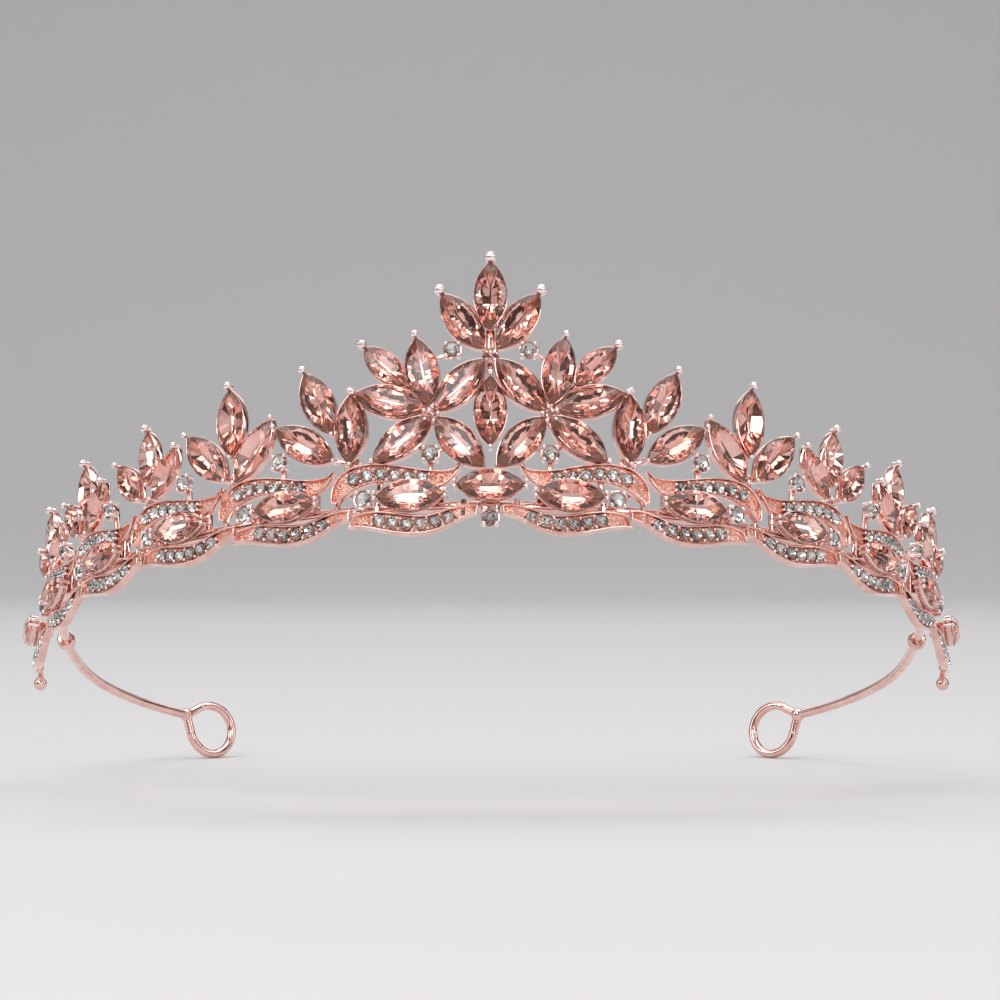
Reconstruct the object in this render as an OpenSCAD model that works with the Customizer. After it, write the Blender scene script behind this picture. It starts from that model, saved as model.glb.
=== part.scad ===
// Bridal tiara: a round wire hoop that carries a pierced band of leaves and
// marquise crystals, with sprays of crystal petals rising to a peak in front.
//
// Frame: the origin is the centre of the hoop, where it sits on the head.
// +X runs to the wearer's left, -Y is the front, +Z is up as worn.
// Everything is drawn with the hoop lying flat and then leaned back as worn.
// Along the band, places are given as an arc length from the front centre
// and a height over the hoop wire.

/* [Hoop] */
// radius of the hoop's wire, to its centre line
hoop_radius = 70; // [60:0.5:80]
// thickness of the hoop wire
wire_d = 1.6; // [1:0.1:2.5]
// how far the front of the hoop is lifted when worn, in degrees
hoop_lean = 18; // [0:1:30]
// half of the hoop's round front, in degrees
front_sweep = 85; // [70:1:95]
// radius of the flatter stretch at each side
side_radius = 150; // [100:5:250]
// sweep of the flatter stretch at each side, in degrees
side_sweep = 10; // [4:1:20]
// radius of the curve that turns each end inward
tail_radius = 56; // [40:1:80]
// sweep of that curve, in degrees
tail_sweep = 38; // [20:1:60]
// radius of the ring at each end, to the wire's centre
ring_r = 4.4; // [3:0.1:5]
// distance from the wire's end to the middle of its ring
ring_reach = 5.6; // [4.5:0.1:8]
// how far each ring hangs down from the wire, in degrees
ring_drop = 20; // [0:1:90]
// how far each ring turns in from the wire's end, in degrees
ring_turn = 10; // [0:1:60]

/* [Band] */
// number of leaf pairs on each side
cells = 5; // [3:1:5]
// arc length of one leaf pair
cell_pitch = 18.5; // [16:0.1:22]
// thickness of a leaf
leaf_t = 1.2; // [0.8:0.1:2]
// width of the raised edge round a leaf
edge_w = 0.35; // [0.2:0.05:0.6]
// height of that edge over the leaf
edge_h = 0.45; // [0.1:0.05:0.6]
// angle from the front at which the band begins to open outward, in degrees
open_angle = 62; // [50:1:80]
// radius of the band past that angle
open_radius = 100; // [90:5:250]
// arc length at which the band begins to drop below the wire
droop_start = 40; // [20:1:80]
// drop of the band per square millimetre past that length
droop_rate = 0.0006; // [0:0.0001:0.002]

/* [Crystals] */
// length of a large petal's crystal
large_l = 10.6; // [8:0.1:12]
// width of a large petal's crystal
large_w = 4.8; // [4:0.1:5]
// length of a small petal's crystal
small_l = 8.4; // [6:0.1:10]
// width of a small petal's crystal
small_w = 4.1; // [3:0.1:5]
// length of a crystal that lies along the band
lying_l = 9.9; // [8:0.1:10]
// width of a crystal that lies along the band
lying_w = 4.6; // [4:0.1:5]
// wall of the rim round a marquise crystal
rim_t = 0.3; // [0.2:0.05:0.6]
// radius of a pave stone
pave_r = 0.9; // [0.6:0.05:1.2]
// radius of a claw set round stone
round_r = 1.15; // [0.8:0.05:1.6]

/* [Hidden] */
$fa = 4;
$fs = 0.3;
large_fa = 0.5;                       // finest step on the band's and hoop's large radii
wire_r = wire_d / 2;
band_radius = hoop_radius + wire_r;   // back of the band, against the wire
open_start = band_radius * open_angle * PI / 180;
rim_h = 1.5;                          // depth of a marquise rim
girdle_z = 1.1;                       // foot of a marquise crystal's girdle
girdle_t = 0.3;
crown_h = 0.85;                       // marquise crown over its girdle
keel_z = 0.25;                        // lowest line of a marquise crystal
pedestal_h = 1.7;                     // lift of the band marquises over the wire
lens_steps = 5;                       // facets on each side of a marquise crystal
cup_h = 1.3;                          // depth of a round claw cup
cup_floor = 0.5;                      // where its stone sits
cup_wall = 0.3;
claw_r = 0.32;
claw_out = 0.12;                      // claws outside the stone's edge
round_h = 1.4;                        // height of a round stone
tip_rim = 2.6 * rim_t;                // a marquise rim is longer than its crystal by this
bead_rise = 0.2;                      // beads over the rim they hold
strut_t = 0.8;
rim_back = -0.25;                     // back of a petal's rim, let into its stem
pave_h = 0.8;                         // height of a pave stone, glued on its leaf
round_lift = 1.1;                     // lift of the rounds in the band over the wire
cuff_turn = 3;                        // collars on the wire, from the end of its round front
cuff_sweep = 1;
joint_swell = 0.03;
solder_r = 1.25;                      // blob of solder that closes each end ring

rose_gold = [0.86, 0.58, 0.50];
peach = [0.96, 0.66, 0.56];
clear = [0.90, 0.91, 0.93];

// ---- outlines of the leaves: [along the band, height], one pair per cell ----
// each stretch is a cubic curve: start, two handles, end
upper_leaf_edge = [
    [[4.1, 5.9], [5.2, 4.6], [7.5, 4.8], [10, 5.2]],
    [[10, 5.2], [13, 5.9], [17, 7.0], [20, 6.1]],
    [[20, 6.1], [22.4, 5.5], [23.5, 3.2], [23.0, 0.9]],
    [[22.3, 0.5], [21.3, 1.9], [18.5, 3.7], [15.1, 3.5]],
    [[15.1, 3.5], [12.8, 3.3], [10.2, 2.0], [8, 2.2]],
    [[8, 2.2], [6, 2.4], [4.5, 4.0], [4.1, 5.9]]];
lower_leaf_edge = [
    [[1.5, -0.9], [4.2, -0.1], [7, -1.9], [10, -1.7]],
    [[10, -1.7], [13, -1.5], [17, 0.1], [19.6, -1.3]],
    [[20.5, -3.2], [17.5, -2.9], [14.5, -4.6], [11, -4.7]],
    [[11, -4.7], [6, -4.8], [5, -2.2], [1.8, -1.9]]];
// the last leaf on each side is shorter and carries the end stem
end_leaf_edge = [
    [[1.5, -0.9], [4.2, -0.1], [7, -1.6], [10, -1.5]],
    [[10, -1.5], [14, -1.4], [18, -1.0], [20.5, -2.2]],
    [[20.5, -3.6], [17, -4.4], [14, -4.8], [11, -4.6]],
    [[11, -4.6], [6, -4.5], [5, -2.2], [1.8, -1.9]]];

upper_pave = [[9.7, 3.85], [11.7, 4.1], [13.7, 4.45], [15.7, 4.75], [17.7, 4.75], [19.7, 4.35]];
lower_pave = [[5.9, -2.35], [7.9, -2.9], [9.9, -3.15], [11.9, -3.1], [13.9, -2.75], [15.9, -2.3]];
end_pave = [[5.9, -2.3], [7.9, -2.8], [9.9, -3.05], [11.9, -3.05], [13.9, -2.95],
            [15.9, -2.85], [17.9, -2.8]];
upper_tabs = [6.6];                   // lugs that reach the wire
lower_tabs = [3.4, 15.9];
tab_w = 0.8;

// ---- crystal petals: [along, height, turn from upright, large = 1, bead radius] ----
crown_petals = [[0, 31.85, 0, 1, 0.9], [4.05, 27.8, 36, 1, 0.88], [-4.05, 27.8, -36, 1, 0.88]];
crown_hub = [0, 22.4];
// right hand flower beside the peak, mirrored for the left
flower_hub = [8.55, 13.55];
flower_petals = [
    [9.85, 20.3, 11, 1, 0.62], [15.35, 21.35, 46, 0, 0.75], [14.6, 15.85, 75, 1, 0.5],
    [12.65, 10, 127, 1, 0.45], [4.35, 9.2, 222, 1, 0], [4.3, 17.95, -43.5, 1, 0]];
flower_feet = [[[15.6, 7.6], [16.2, 2.2]], [[3.6, 8.2], [5.6, 3.4]]];
drop_petal = [0, 14, 0, 1, 0.5];

// petals of each fan, from the front to the side
fan_hubs = [[20.4, 6.5], [39.8, 6.6], [57.4, 6.7], [75.9, 6.7], [94.4, 6.6]];
fan_petals = [
    [[20.4, 12.2, 0, 1, 0.5], [25.5, 16.6, 24, 1, 0.65], [27.5, 10.4, 57, 1, 0.4]],
    [[40.2, 15.95, 3, 1, 0.65], [35.9, 10.8, -37, 1, 0.4], [44.6, 11.1, 42, 1, 0.5]],
    [[57.2, 14.3, 3, 0, 0.65], [53.1, 10.9, -38, 0, 0.5], [61.8, 11.3, 40, 0, 0.5]],
    [[75.8, 14.4, 3, 0, 0.65], [71.7, 10.7, -40, 0, 0.5], [80.6, 10.9, 42, 0, 0.5]],
    [[94.4, 13.2, 2, 0, 0.65], [90.3, 10.2, -42, 0, 0.5], [98.7, 10, 46, 0, 0.5]]];
fan_foot_h = 1.9;                     // foot of each fan's stem, behind its leaf
accent_z = -0.3;                      // back of an accent's cup, let into its stems

band_marquise = [11.2, 0.9];          // in every cell, lying along the band
band_round = [18.0, 0.75];            // beside it
centre_marquise = [0, 2.2];
centre_round = [0, -2.3];
end_origin = cells * cell_pitch;      // start of the end leaf
end_stem = [[20.3, -2.9], [23.6, -3.6]];
end_bead_r = 1.1;
// claw set rounds between the sprays: [along, height]
accents = [[5.5, 23.5], [8.6, 7.6], [31.6, 8.4], [49.2, 8.4], [67.4, 8.8], [86, 8.1]];
// stems that hold them, behind the pieces they meet: [from, to]
accent_stems = [[[5.5, 23.5], [8, 22.7]], [[5.5, 23.5], [5.2, 25.9]],
                [[8.6, 7.6], [8.8, 3.9]], [[8.6, 7.6], [6.5, 9]], [[8.6, 7.6], [10.5, 9.2]],
                [[31.6, 8.4], [31.4, 4.6]], [[49.2, 8.4], [49, 4.6]],
                [[67.4, 8.8], [67.2, 4.6]], [[86, 8.1], [85.8, 4.6]]];

// ---- places on the band ----
// direction of the band at an arc length, in degrees from straight across
function heading(s) = abs(s) <= open_start ? s / band_radius * 180 / PI
    : sign(s) * (open_angle + (abs(s) - open_start) / open_radius * 180 / PI);
// point on the back of the band at a positive arc length
function band_point_r(s) = let (h = heading(s))
    s <= open_start ? band_radius * [sin(h), -cos(h)]
    : band_radius * [sin(open_angle), -cos(open_angle)]
      + open_radius * [sin(h) - sin(open_angle), cos(open_angle) - cos(h)];
function band_point(s) = let (p = band_point_r(abs(s))) [sign(s) * p[0], p[1]];
function curve_radius(s) = abs(s) <= open_start ? band_radius : open_radius;

function droop(s) = droop_rate * pow(max(0, abs(s) - droop_start), 2);

// puts a child at a place on the band: its x runs along the band, its y
// up and its z outward
module on_band(s, h = 0) {
    translate(band_point(s)) rotate([90, 0, heading(s)]) translate([0, h - droop(s), 0]) children();
}
module as_worn() { rotate([-hoop_lean, 0, 0]) children(); }
module sided(side) { if (side > 0) children(); else mirror([1, 0, 0]) children(); }

// ---- curves ----
function bezier(p, t) = pow(1 - t, 3) * p[0] + 3 * pow(1 - t, 2) * t * p[1]
    + 3 * (1 - t) * t * t * p[2] + pow(t, 3) * p[3];
function outline(stretches, steps = 6) = distinct([for (p = stretches, i = [0:steps]) bezier(p, i / steps)]);
// the points with each repeat of the one before left out
function distinct(p) = [for (i = [0:len(p) - 1]) if (norm(p[i] - p[(i + len(p) - 1) % len(p)]) > 0.01) p[i]];

// ---- marquise crystals: long axis on y, back at z = 0 ----
function lens_r(l, w) = (l * l + w * w) / (4 * w);
module lens(l, w) {
    r = lens_r(l, w);
    intersection() {
        translate([r - w / 2, 0]) circle(r);
        translate([w / 2 - r, 0]) circle(r);
    }
}
function lens_x(l, w, y) = sqrt(pow(lens_r(l, w), 2) - y * y) - (lens_r(l, w) - w / 2);
function lens_ring(l, w, z) = concat(
    [for (i = [0:lens_steps - 1]) let (y = l / 2 * cos(180 * i / lens_steps)) [lens_x(l, w, y), y, z]],
    [for (i = [0:lens_steps - 1]) let (y = -l / 2 * cos(180 * i / lens_steps)) [-lens_x(l, w, y), y, z]]);
module marquise(l, w) {
    n = 2 * lens_steps;
    rings = [lens_ring(l * 0.5, w * 0.12, keel_z), lens_ring(l, w, girdle_z),
             lens_ring(l, w, girdle_z + girdle_t),
             lens_ring(l * 0.62, w * 0.52, girdle_z + girdle_t + crown_h)];
    polyhedron(
        points = [for (ring = rings) each ring],
        faces = concat(
            [[for (i = [0:n - 1]) i]],
            [for (k = [0:2]) for (i = [0:n - 1]) let (a = k * n + i, b = k * n + (i + 1) % n)
                each [[a, a + n, b + n], [a, b + n, b]]],
            [[for (i = [n - 1:-1:0]) 3 * n + i]]));
}
function petal_l(p) = p[3] == 1 ? large_l : small_l;
function petal_w(p) = p[3] == 1 ? large_w : small_w;
// sprays are flat castings: each is set out in the plane that touches the band at its hub
module on_plane(hub, c, h) { on_band(hub) translate([c - hub, h, 0]) children(); }
module at_petal(hub, p) { on_plane(hub, p[0], p[1]) rotate(-p[2]) children(); }
module petal_crystal(hub, p) { at_petal(hub, p) marquise(petal_l(p), petal_w(p)); }

// rim of one petal with a bead at its outer end
module petal_rim(hub, p, back = rim_back) {
    l = petal_l(p);
    at_petal(hub, p) {
        translate([0, 0, back]) linear_extrude(rim_h - back)
            lens(l + tip_rim, petal_w(p) + 2 * rim_t);
        if (p[4] > 0) translate([0, l / 2 + 0.2 + p[4] * 0.4, 0]) {
            cylinder(h = rim_h + bead_rise, r = p[4] * 0.75);
            translate([0, 0, rim_h + bead_rise]) sphere(p[4]);
        }
    }
}
module petal_seat(hub, p) {
    at_petal(hub, p) translate([0, 0, -1]) linear_extrude(rim_h + 4) lens(petal_l(p), petal_w(p));
}
// a spray of petals cut for its crystals
module spray(hub, petals, back = rim_back) {
    difference() {
        union() for (p = petals) petal_rim(hub, p, back);
        for (p = petals) petal_seat(hub, p);
    }
}
module hub_plate(c, r = 1.4) {
    on_plane(c[0], c[0], c[1]) translate([0, 0, -strut_t]) cylinder(h = strut_t, r = r);
}
// flat bar at the back of a spray, between two places in its plane
module strut(hub, a, b, top = 0, w = 0.9) {
    m = (a + b) / 2;
    on_plane(hub, m[0], m[1]) rotate(-atan2(b[0] - a[0], b[1] - a[1]))
        translate([-w / 2, -norm(b - a) / 2, -strut_t]) cube([w, norm(b - a), strut_t + top]);
}

// ---- round claw set stones ----
module claw_cup() {
    difference() {
        union() {
            cylinder(h = cup_h, r1 = round_r * 0.75, r2 = round_r + cup_wall);
            for (a = [45:90:315]) rotate(a) translate([round_r + claw_out, 0, 0.3]) {
                cylinder(h = cup_h + 0.1, r = claw_r);
                translate([0, 0, cup_h + 0.1]) sphere(claw_r);
            }
        }
        translate([0, 0, cup_floor]) cylinder(h = 3, r = round_r);
    }
}
module flat_back_stone(r, t) {
    rotate_extrude() polygon([[0, 0], [r, 0], [r, t * 0.45], [r * 0.58, t], [0, t]]);
}

// ---- hoop ----
module bend(r, sweep) {
    translate([-r, 0, 0]) rotate_extrude(angle = sweep, $fa = large_fa) translate([r, 0]) circle(wire_r);
}
module after_bend(r, sweep) { translate([-r, 0, 0]) rotate(sweep) translate([r, 0, 0]) children(); }
// where two bends of the wire meet, a hair fuller than the wire
module joint() { sphere(wire_r + joint_swell); }
// ring at the end of the wire, drawn out to a soldered point where the wire enters
module end_ring() {
    half = asin(ring_r / ring_reach);
    side_l = ring_reach * cos(half);
    sphere(solder_r);
    rotate(ring_turn) rotate([-ring_drop, 0, 0]) rotate([0, 90, 0]) {
        for (e = [1, -1]) rotate(e * half) {
            rotate([-90, 0, 0]) cylinder(h = side_l, r = wire_r);
            translate([0, side_l, 0]) joint();
        }
        translate([0, ring_reach, 0]) rotate(-half)
            rotate_extrude(angle = 180 + 2 * half) translate([ring_r, 0]) circle(wire_r);
    }
}
module hoop_wire() {
    color(rose_gold) as_worn() {
        rotate(-90 - front_sweep) translate([hoop_radius, 0, 0]) bend(hoop_radius, 2 * front_sweep);
        for (side = [1, -1]) sided(side) rotate(-90 + front_sweep) translate([hoop_radius, 0, 0]) {
            joint();
            bend(side_radius, side_sweep);
            after_bend(side_radius, side_sweep) {
                joint();
                bend(tail_radius, tail_sweep);
                after_bend(tail_radius, tail_sweep) end_ring();
            }
        }
    }
}

// short collar that ties the band's free end to the wire
module wire_cuffs() {
    color(rose_gold) as_worn() for (side = [1, -1]) sided(side)
        rotate(front_sweep - 90) translate([hoop_radius - side_radius, 0, 0])
            rotate(cuff_turn) rotate_extrude(angle = cuff_sweep) translate([side_radius, 0])
                difference() { circle(wire_r + 0.7); circle(wire_r); }
}

// ---- centre ----
module crown_setting() {
    color(rose_gold) as_worn() {
        spray(0, crown_petals);
        hub_plate(crown_hub);
        strut(0, crown_hub, [0, 9.4]);
        strut(0, crown_hub, [0, 27.2], 0, 1.4);
        for (side = [1, -1]) strut(0, crown_hub + [0.3 * side, 0.5], [1.7 * side, 24.8]);
        for (a = [90, 210, 330])
            on_plane(0, 0.7 * cos(a), crown_hub[1] + 0.7 * sin(a)) sphere(0.42);
    }
}
module drop_setting() {
    foot = drop_petal[1] - large_l / 2 - 0.35;
    color(rose_gold) as_worn() {
        spray(0, [drop_petal], 0);
        on_plane(0, 0, foot) {
            cylinder(h = rim_h + bead_rise, r = 0.3);
            translate([0, 0, rim_h + bead_rise]) sphere(0.4);
        }
    }
}
module side_flower(side) {
    s = flower_hub[0];
    color(rose_gold) as_worn() sided(side) {
        spray(s, flower_petals);
        hub_plate(flower_hub);
        for (a = [30:72:318])
            on_plane(s, s + 0.9 * cos(a), flower_hub[1] + 0.9 * sin(a)) sphere(0.32);
        for (f = flower_feet) strut(s, f[0], f[1]);
        for (p = flower_petals)
            strut(s, flower_hub, [p[0], p[1]] - 0.36 * petal_l(p) * [sin(p[2]), cos(p[2])]);
    }
}
module centre_bridge() {
    color(rose_gold) as_worn() {
        on_band(0, -0.75) linear_extrude(leaf_t) square([2.7, 2.1], center = true);
        on_band(centre_round[0], centre_round[1]) claw_cup();
    }
}

// ---- leaves ----
// a leaf bent to the band: `middle` is the arc length at its middle, `origin`
// where its outline counts from
module bent(middle, origin, from, to) {
    r = curve_radius(middle);
    on_band(middle) intersection() {
        translate([origin - middle, 0, -4]) linear_extrude(8) children();
        translate([0, 0, -r]) rotate([90, 0, 0]) difference() {
            cylinder(h = 40, r = r + to, center = true, $fa = large_fa);
            cylinder(h = 50, r = r + from, center = true, $fa = large_fa);
        }
    }
}
module leaf(edge, tabs, tab_ends, origin) {
    middle = origin + 11;
    points = outline(edge);
    bent(middle, origin, 0, leaf_t) {
        polygon(points);
        for (x = tabs) translate([x, tab_ends[0]]) square([tab_w, tab_ends[1] - tab_ends[0]]);
    }
    bent(middle, origin, leaf_t - 0.1, leaf_t + edge_h) difference() {
        polygon(points);
        offset(delta = -edge_w) polygon(points);
    }
}
// place on the front of a leaf whose middle is given
module on_leaf(middle, s, h) {
    r = curve_radius(middle);
    on_band(middle) translate([0, 0, -r]) rotate([0, (s - middle) / r * 180 / PI, 0])
        translate([0, h, r]) children();
}
module upper_leaf(k, side) {
    color(rose_gold) as_worn() sided(side)
        leaf(upper_leaf_edge, upper_tabs, [-0.1, 2.6], (k - 1) * cell_pitch);
}
module lower_leaf(k, side) {
    color(rose_gold) as_worn() sided(side)
        leaf(lower_leaf_edge, lower_tabs, [-2, 0.6], (k - 1) * cell_pitch);
}
module end_spray(side) {
    color(rose_gold) as_worn() sided(side) {
        leaf(end_leaf_edge, [3.4], [-2, 0.6], end_origin);
        tip = end_stem[1];
        bent(end_origin + 11, end_origin, 0, leaf_t) translate([end_stem[0][0] - 0.6, end_stem[0][1] - 0.6])
            rotate(-10) square([4, 1.1]);
        on_band(end_origin + tip[0], tip[1]) translate([0, 0, leaf_t / 2]) sphere(end_bead_r);
    }
}

// ---- fans and claw settings ----
module fan_setting(k, side) {
    h = fan_hubs[k - 1];
    color(rose_gold) as_worn() sided(side) {
        spray(h[0], fan_petals[k - 1]);
        hub_plate(h + [0, 0.4], 1.2);
        strut(h[0], h + [0, 0.6], [h[0] + 0.3, fan_foot_h]);
        for (p = fan_petals[k - 1])
            strut(h[0], h + [0, 0.6], [p[0], p[1]] - 0.35 * petal_l(p) * [sin(p[2]), cos(p[2])]);
    }
}
module lying_marquise_setting(c) {
    on_band(c[0], c[1]) {
        translate([-3.2, -0.75, 0]) cube([6.4, 1.5, pedestal_h + 0.2]);
        translate([0, 0, pedestal_h]) rotate(90) difference() {
            union() {
                linear_extrude(rim_h) lens(lying_l + tip_rim, lying_w + 2 * rim_t);
                for (e = [1, -1], f = [0.45, -0.45]) translate([f, e * (lying_l / 2 + 0.25), 0]) {
                    cylinder(h = rim_h + 0.1, r = 0.3);
                    translate([0, 0, rim_h + 0.1]) sphere(0.34);
                }
            }
            translate([0, 0, 0.2]) linear_extrude(rim_h + 3) lens(lying_l, lying_w);
        }
    }
}
function band_places() = concat([centre_marquise],
    [for (side = [1, -1], k = [0:cells]) [side * (band_marquise[0] + k * cell_pitch), band_marquise[1]]]);
module band_marquise_settings() {
    color(rose_gold) as_worn() for (c = band_places()) lying_marquise_setting(c);
}
function round_places() = [for (side = [1, -1], k = [0:cells - 1])
    [side * (band_round[0] + k * cell_pitch), band_round[1]]];
module band_round_settings() {
    color(rose_gold) as_worn() for (c = round_places()) on_band(c[0], c[1]) band_round_cup();
}
module band_round_cup() {
    cylinder(h = round_lift + 0.1, r = 0.7);
    translate([0, 0, round_lift]) claw_cup();
}
module accent_settings() {
    color(rose_gold) as_worn() for (side = [1, -1]) sided(side) {
        for (c = accents) on_band(c[0], c[1]) translate([0, 0, accent_z]) claw_cup();
        for (m = accent_stems) strut(m[0][0], m[0], m[1], m[1][1] > 8.5 ? accent_z : 0, 0.7);
    }
}

// ---- crystals ----
module crown_crystals() { color(peach) as_worn() for (p = crown_petals) petal_crystal(0, p); }
module drop_crystal() { color(peach) as_worn() petal_crystal(0, drop_petal); }
module side_flower_crystals(side) {
    color(peach) as_worn() sided(side) for (p = flower_petals) petal_crystal(flower_hub[0], p);
}
module fan_crystals(side) {
    color(peach) as_worn() sided(side)
        for (k = [0:cells - 1], p = fan_petals[k]) petal_crystal(fan_hubs[k][0], p);
}
module band_crystals() {
    color(peach) as_worn() for (c = band_places()) on_band(c[0], c[1])
        translate([0, 0, pedestal_h]) rotate(90) marquise(lying_l, lying_w);
}
module pave_stones(pave, extra) {
    color(clear) as_worn() for (side = [1, -1]) sided(side) {
        for (k = [0:cells - 1], p = pave) pave_stone(k * cell_pitch, p);
        for (p = extra) pave_stone(end_origin, p);
    }
}
module pave_stone(origin, p) {
    on_leaf(origin + 11, origin + p[0], p[1])
        translate([0, 0, leaf_t]) flat_back_stone(pave_r, pave_h);
}
module upper_pave_stones() { pave_stones(upper_pave, []); }
module lower_pave_stones() { pave_stones(lower_pave, end_pave); }
module band_round_stones() {
    color(clear) as_worn() {
        for (c = round_places()) on_band(c[0], c[1])
            translate([0, 0, round_lift + cup_floor]) flat_back_stone(round_r, round_h);
        on_band(centre_round[0], centre_round[1])
            translate([0, 0, cup_floor]) flat_back_stone(round_r, round_h);
    }
}
module accent_stones() {
    color(clear) as_worn() for (side = [1, -1]) sided(side)
        for (c = accents) on_band(c[0], c[1])
            translate([0, 0, accent_z + cup_floor]) flat_back_stone(round_r, round_h);
}

hoop_wire();
wire_cuffs();
centre_bridge();
crown_setting();
drop_setting();
side_flower(1);  // side_flower_r
side_flower(-1);  // side_flower_l
for (k = [1:cells]) {
    upper_leaf(k, 1);
    upper_leaf(k, -1);
    lower_leaf(k, 1);
    lower_leaf(k, -1);
    fan_setting(k, 1);
    fan_setting(k, -1);
}
end_spray(1);  // end_spray_r
end_spray(-1);  // end_spray_l
band_marquise_settings();
band_round_settings();
accent_settings();
crown_crystals();
drop_crystal();
side_flower_crystals(1);  // side_flower_crystals_r
side_flower_crystals(-1);  // side_flower_crystals_l
fan_crystals(1);  // fan_crystals_r
fan_crystals(-1);  // fan_crystals_l
band_crystals();
upper_pave_stones();
lower_pave_stones();
band_round_stones();
accent_stones();
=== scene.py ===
import math

import bpy
import numpy as np
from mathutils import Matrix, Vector, noise


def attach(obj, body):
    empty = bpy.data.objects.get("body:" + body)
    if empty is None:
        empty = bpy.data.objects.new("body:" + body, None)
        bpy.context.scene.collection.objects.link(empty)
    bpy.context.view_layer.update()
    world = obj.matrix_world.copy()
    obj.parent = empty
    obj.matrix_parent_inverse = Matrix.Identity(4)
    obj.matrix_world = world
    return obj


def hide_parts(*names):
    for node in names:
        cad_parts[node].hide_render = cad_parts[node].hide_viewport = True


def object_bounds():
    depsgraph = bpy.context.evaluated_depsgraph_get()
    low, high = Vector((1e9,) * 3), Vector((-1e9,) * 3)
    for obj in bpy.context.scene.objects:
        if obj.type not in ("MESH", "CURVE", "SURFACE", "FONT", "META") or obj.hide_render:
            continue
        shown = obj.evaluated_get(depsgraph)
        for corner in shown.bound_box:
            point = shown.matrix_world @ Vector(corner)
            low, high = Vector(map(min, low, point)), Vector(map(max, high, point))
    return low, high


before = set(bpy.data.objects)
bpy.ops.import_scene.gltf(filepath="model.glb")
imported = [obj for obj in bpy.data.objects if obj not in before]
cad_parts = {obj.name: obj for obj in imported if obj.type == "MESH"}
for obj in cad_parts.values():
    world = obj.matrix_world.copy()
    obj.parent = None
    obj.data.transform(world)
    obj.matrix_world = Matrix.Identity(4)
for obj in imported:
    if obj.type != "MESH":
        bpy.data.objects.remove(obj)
cad_box = [list(c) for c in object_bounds()]

# Shapes are in millimetres and degrees, and Cast.make turns them into metres. On the band, x is the
# arc length from the front centre, y the height and z the way out. One side of the object is
# written, and the other is its mirror image.
MM = 0.001
LEAN = 18.0                               # the hoop leans back as worn
BAND_R = 70.8
OPEN_ANGLE, OPEN_R = 62.0, 100.0          # past this heading the band opens to this radius
OPEN_START = BAND_R * math.radians(OPEN_ANGLE)
CELLS, PITCH = 5, 18.5                    # leaves on a side, and their spacing
DROOP_START, DROOP_RATE = 40.0, 0.0006    # the band sinks from here on

# marquise crystals: length and width, their edge and its thickness, and the rise over it
LARGE, SMALL, LYING = (10.6, 4.8), (8.4, 4.1), (9.9, 4.6)
GIRDLE_Z, GIRDLE_T, CROWN_H = 1.12, 0.16, 0.80
TABLE_SCALE, KEEL_SCALE = (0.64, 0.62), (0.05, 0.42)    # top and bottom against the edge
STONE_SIDES = 8
STONE_GAP = 0.02                          # a crystal is this much smaller than its seat all round
PAVE_R, ROUND_R = 0.9, 1.15
CUP_TOP = 1.22
PEDESTAL = 1.7                            # the lying crystals stand this far out
LEAF_T, LEAF_BACK = 1.2, 0.4              # front and back of a leaf
EDGE_H, EDGE_W = 0.45, 0.46               # the raised edge of a leaf
LEAF_MIDDLE = 11.0                        # the place along a leaf where it touches its arc
FLOOR_SINK, LUMP_H, LUMP_SCALE = 0.10, 0.07, 2.3         # the grained floor of a leaf
HOOP_R, SIDE_R, SIDE_START, CUFF_TURN = 70.0, 150.0, 5.0, 3.5    # the wire, and its collars

# places of the materials in a piece's list: metal ones, then crystal ones
# the bead slot takes the rose gold painted paler and creamier, a painted highlight
POLISHED, GRAINED, BEAD = 0, 1, 2
# the tip foil slot takes foil painted deeper in colour, a painted reflection
GLASS, FOIL, TIP_PAINTED_FOIL = 0, 1, 2

# petals: along the band, height, turn from upright, large = 1, bead radius
CROWN = [(0, 31.85, 0, 1, .9), (4.05, 27.8, 36, 1, .88), (-4.05, 27.8, -36, 1, .88)]
CROWN_HUB = (0, 22.4)
FLOWER_HUB = (8.55, 13.55)
FLOWER = [(9.85, 20.3, 11, 1, .62), (15.35, 21.35, 46, 0, .75), (14.6, 15.85, 75, 1, .5),
          (12.65, 10.0, 127, 1, .45), (4.35, 9.2, 222, 1, 0), (4.3, 17.95, -43.5, 1, 0)]
FLOWER_FEET = [((15.6, 7.6), (16.2, 2.2)), ((3.6, 8.2), (5.6, 3.4))]
DROP = (0, 14.0, 0, 1, .5)
FAN_HUBS = [(20.4, 6.5), (39.8, 6.6), (57.4, 6.7), (75.9, 6.7), (94.4, 6.6)]
FANS = [
    [(20.4, 12.2, 0, 1, .5), (25.5, 16.6, 24, 1, .65), (27.5, 10.4, 57, 1, .4)],
    [(40.2, 15.95, 3, 1, .65), (35.9, 10.8, -37, 1, .4), (44.6, 11.1, 42, 1, .5)],
    [(57.2, 14.3, 3, 0, .65), (53.1, 10.9, -38, 0, .5), (61.8, 11.3, 40, 0, .5)],
    [(75.8, 14.4, 3, 0, .65), (71.7, 10.7, -40, 0, .5), (80.6, 10.9, 42, 0, .5)],
    [(94.4, 13.2, 2, 0, .65), (90.3, 10.2, -42, 0, .5), (98.7, 10.0, 46, 0, .5)]]
FAN_FOOT = 1.9
BAND_MARQUISE, CENTRE_MARQUISE = (11.2, 0.9), (0, 2.2)
BAND_ROUND, CENTRE_ROUND = (18.0, 0.75), (0, -2.3)
END_ORIGIN = CELLS * PITCH
END_TIP = (23.6, -3.6)
ACCENTS = [(5.5, 23.5), (8.6, 7.6), (31.6, 8.4), (49.2, 8.4), (67.4, 8.8), (86.0, 8.1)]
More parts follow.
